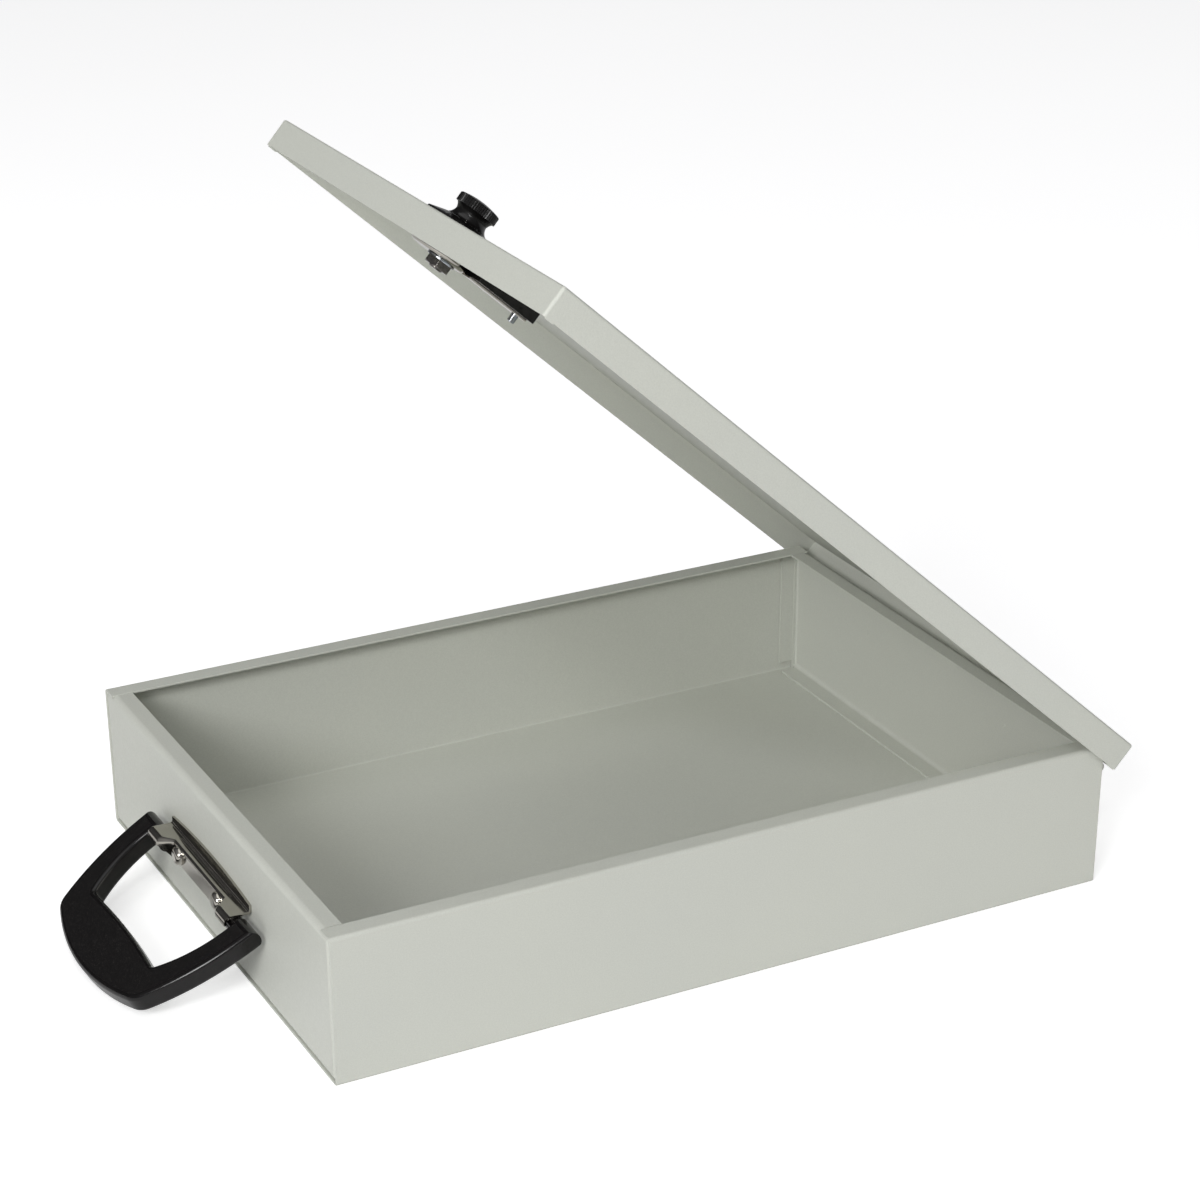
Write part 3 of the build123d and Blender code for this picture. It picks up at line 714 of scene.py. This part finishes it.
def bracket_ear(side, low, high):
    """Ear inside a hood, with its lower front corner cut back and a hole for the pin."""
    back = high.x - BRACKET_SHEET
    front = low.x + BRACKET_SHEET
    roof = SHELF_HEIGHT - BRACKET_SHEET
    middle_y = side * (EAR_INNER + BRACKET_SHEET / 2)
    bpy.ops.object.select_all(action="DESELECT")
    bpy.ops.mesh.primitive_cube_add(
        size=1, location=((back + front) / 2, middle_y, (roof + EAR_BOTTOM) / 2),
        scale=(back - front - EAR_GAP, BRACKET_SHEET, roof - EAR_BOTTOM - EAR_GAP))
    ear = bpy.context.object
    settle(ear)
    pick(ear, "VERT", lambda part: part.co.z < roof - BRACKET_SHEET and part.co.x < (back + front) / 2)
    bpy.ops.transform.translate(value=(0, 0, HOOD_LIP + BRACKET_SHEET - EAR_BOTTOM))
    leave()
    soften(ear, bpy.context.scene.docbox_shape.metal_round)
    bore(ear, middle_y)
    return ear


def bore(ear, middle_y):
    """Cut the hole that the handle's pin turns in, on the handle's own axis."""
    joints = frame["record"]["behaviour"]["joints"]
    axis_x, _, axis_z = next(joint["pos_m"] for joint in joints if joint["name"] == "handle_swing")
    low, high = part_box("handle_pins")
    bpy.ops.object.select_all(action="DESELECT")
    bpy.ops.mesh.primitive_cylinder_add(
        vertices=PIN_HOLE_SIDES, radius=(high.z - low.z) / 2 + PIN_CLEARANCE, depth=4 * BRACKET_SHEET,
        location=(axis_x, middle_y, axis_z), rotation=(math.pi / 2, 0, 0))
    drill = bpy.context.object
    settle(drill)
    modify(ear, "BOOLEAN", operation="DIFFERENCE", object=drill, solver="EXACT")
    alone(drill)
    bpy.ops.object.delete()


class DOCBOX_OT_bracket(bpy.types.Operator):
    """Pressed handle bracket with its groove, smooth hoods and ears"""

    bl_idname = "docbox.bracket"
    bl_label = "Handle bracket"

    def execute(self, context):
        low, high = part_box("handle_bracket")
        piece = bracket_sheet(low, high)
        soften(piece, context.scene.docbox_shape.metal_round, angle=BRACKET_SHARP)
        ears = [bracket_ear(side, low, high) for side in (-1, 1)]
        alone(piece, *ears)
        bpy.ops.object.join()
        dress(piece, "nickel")
        hand_in(piece, "handle_bracket")
        dress_node("bracket_rivets", "nickel")
        return {"FINISHED"}


class DOCBOX_OT_handle(bpy.types.Operator):
    """Moulded handle with textured flats and smooth edges, and its steel pins"""

    bl_idname = "docbox.handle"
    bl_label = "Carrying handle"

    def execute(self, context):
        piece = copy_of("handle_grip", "carrying_handle")
        soften(piece, 0)
        dress(piece, "grip_side")
        piece.data.materials.append(material("grip_face"))
        broad = max(piece.data.polygons, key=lambda face: face.area)
        for face in piece.data.polygons:
            if abs(face.normal.dot(broad.normal)) > SAME_WAY:
                face.material_index = 1
        hand_in(piece, "handle_grip")
        dress_node("handle_pins", "zinc")
        return {"FINISHED"}


class DOCBOX_OT_knob(bpy.types.Operator):
    """Knurled knob and the cone-shaped rosette under it"""

    bl_idname = "docbox.knob"
    bl_label = "Knob and rosette"

    def execute(self, context):
        dress_node("knob", "black_plastic")
        rounded("lock_rosette", "rosette_cone", "black_plastic", context.scene.docbox_shape.metal_round)
        return {"FINISHED"}


class DOCBOX_OT_lock(bpy.types.Operator):
    """Bush, spindle, latch cup, washer and nuts of the lock"""

    bl_idname = "docbox.lock"
    bl_label = "Lock"

    def execute(self, context):
        width = context.scene.docbox_shape.metal_round
        dress_node("lock_bush", "zinc")
        dress_node("lock_spindle", "dark_steel")
        rounded("bush_nut", "bush_hexagon_nut", "dark_steel", width)
        rounded("latch_cup", "latch_dish", "nickel", width)
        rounded("latch_washer", "latch_plain_washer", "zinc", width)
        rounded("latch_nut", "latch_hexagon_nut", "dark_steel", context.scene.docbox_shape.nut_round, 3)
        return {"FINISHED"}


class DOCBOX_OT_click_spring(bpy.types.Operator):
    """Spring block under the lid, its studs and the flat spring"""

    bl_idname = "docbox.click_spring"
    bl_label = "Click spring"

    def execute(self, context):
        width = context.scene.docbox_shape.metal_round
        rounded("spring_block", "spring_carrier", "black_plastic", width)
        rounded("click_spring", "flat_spring", "nickel", width)
        dress_node("block_studs", "zinc")
        return {"FINISHED"}


def camera(stage):
    """Camera at the picture's angle, aimed past its axis by the shift alone."""
    a, e = stage.azimuth, stage.elevation
    back = Vector((math.sin(a) * math.cos(e), -math.cos(a) * math.cos(e), math.sin(e)))
    level = Vector((math.cos(a), math.sin(a), 0))
    upright = back.cross(level)
    right = math.cos(stage.roll) * level + math.sin(stage.roll) * upright
    turn = Matrix((right, back.cross(right), back)).transposed()
    lens = bpy.data.cameras.new("picture_camera")
    lens.sensor_width = 36
    lens.lens = stage.focal_share * lens.sensor_width
    lens.shift_y = stage.shift
    holder = bpy.data.objects.new("picture_camera", lens)
    holder.matrix_world = turn.to_4x4()
    holder.location = Vector(stage.target) + back * stage.distance
    bpy.context.scene.collection.objects.link(holder)
    bpy.context.scene.camera = holder


def softbox(name, place, aim, size, power):
    """Rectangular soft lamp at a place, turned to its aim."""
    lamp = bpy.data.lights.new(name, "AREA")
    lamp.shape = "RECTANGLE"
    lamp.size, lamp.size_y = size
    lamp.energy = power * bpy.context.scene.docbox_stage.strength
    holder = bpy.data.objects.new(name, lamp)
    holder.location = place
    holder.rotation_euler = (Vector(aim) - Vector(place)).to_track_quat("-Z", "Y").to_euler()
    bpy.context.scene.collection.objects.link(holder)


def studio_world():
    """Pale backdrop whose light comes from a dark room, brighter in front and to the left."""
    world = bpy.data.worlds.new("studio")
    world.use_nodes = True
    tree = world.node_tree
    direction = tree.nodes.new("ShaderNodeTexCoord")
    towards = tree.nodes.new("ShaderNodeVectorMath")
    towards.operation = "DOT_PRODUCT"
    towards.inputs[1].default_value = BRIGHT_SIDE
    share = spread(tree, towards.outputs["Value"], 0.0, 1.0, -0.2)
    ramp = tree.nodes.new("ShaderNodeValToRGB")
    ramp.color_ramp.elements[0].color = (*ROOM_DARK, 1)
    ramp.color_ramp.elements[1].color = (*ROOM_BRIGHT, 1)
    tree.links.new(direction.outputs["Generated"], towards.inputs[0])
    tree.links.new(share, ramp.inputs["Fac"])
    seen = tree.nodes.new("ShaderNodeLightPath")
    sky = tree.nodes.new("ShaderNodeMix")
    sky.data_type = "RGBA"
    sky.inputs["B"].default_value = (*SKY, 1)
    tree.links.new(seen.outputs["Is Camera Ray"], sky.inputs["Factor"])
    tree.links.new(ramp.outputs["Color"], sky.inputs["A"])
    tree.links.new(sky.outputs["Result"], tree.nodes["Background"].inputs["Color"])
    bpy.context.scene.world = world


class DOCBOX_OT_stage(bpy.types.Operator):
    """Pale floor, soft studio light and the camera"""

    bl_idname = "docbox.stage"
    bl_label = "Stage"

    def execute(self, context):
        bpy.ops.object.select_all(action="DESELECT")
        bpy.ops.mesh.primitive_circle_add(vertices=96, radius=FLOOR_RADIUS, fill_type="NGON",
                                          location=(0, 0, 0))
        floor = context.object
        floor.name = "pale_floor"
        settle(floor)
        dress(floor, "pale_floor")
        for lamp in LAMPS:
            softbox(*lamp)
        studio_world()
        context.scene.view_settings.view_transform = "Standard"
        camera(context.scene.docbox_stage)
        return {"FINISHED"}


class DOCBOX_PT_pieces(bpy.types.Panel):
    """Sizes, colours and pieces of the document box"""

    bl_label = "Document box"
    bl_idname = "DOCBOX_PT_pieces"
    bl_space_type = "VIEW_3D"
    bl_region_type = "UI"
    bl_category = "Document box"

    def draw(self, context):
        for operator in OPERATORS:
            self.layout.operator(operator.bl_idname)
        for name, group in GROUPS.items():
            box = self.layout.box()
            box.label(text=name.replace("docbox_", "").title())
            for key in group.__annotations__:
                box.prop(getattr(context.scene, name), key)


GROUPS = {"docbox_paint": DocBoxPaint, "docbox_metal": DocBoxMetal, "docbox_plastic": DocBoxPlastic,
          "docbox_shape": DocBoxShape, "docbox_stage": DocBoxStage}
OPERATORS = (DOCBOX_OT_tray, DOCBOX_OT_lid, DOCBOX_OT_hinge, DOCBOX_OT_bracket, DOCBOX_OT_handle,
             DOCBOX_OT_knob, DOCBOX_OT_lock, DOCBOX_OT_click_spring, DOCBOX_OT_stage)


def register():
    """Register the classes and hang the settings on the scene."""
    for made in (*GROUPS.values(), *OPERATORS, DOCBOX_PT_pieces):
        bpy.utils.register_class(made)
    for name, group in GROUPS.items():
        setattr(bpy.types.Scene, name, bpy.props.PointerProperty(type=group))


def unregister():
    """Undo register."""
    for name in GROUPS:
        delattr(bpy.types.Scene, name)
    for made in (DOCBOX_PT_pieces, *reversed(OPERATORS), *reversed(GROUPS.values())):
        bpy.utils.unregister_class(made)


def main():
    """Make every piece and the stage."""
    register()
    bpy.ops.docbox.tray()
    bpy.ops.docbox.lid()
    bpy.ops.docbox.hinge()
    bpy.ops.docbox.bracket()
    bpy.ops.docbox.handle()
    bpy.ops.docbox.knob()
    bpy.ops.docbox.lock()
    bpy.ops.docbox.click_spring()
    bpy.ops.docbox.stage()


if __name__ == "__main__":
    main()
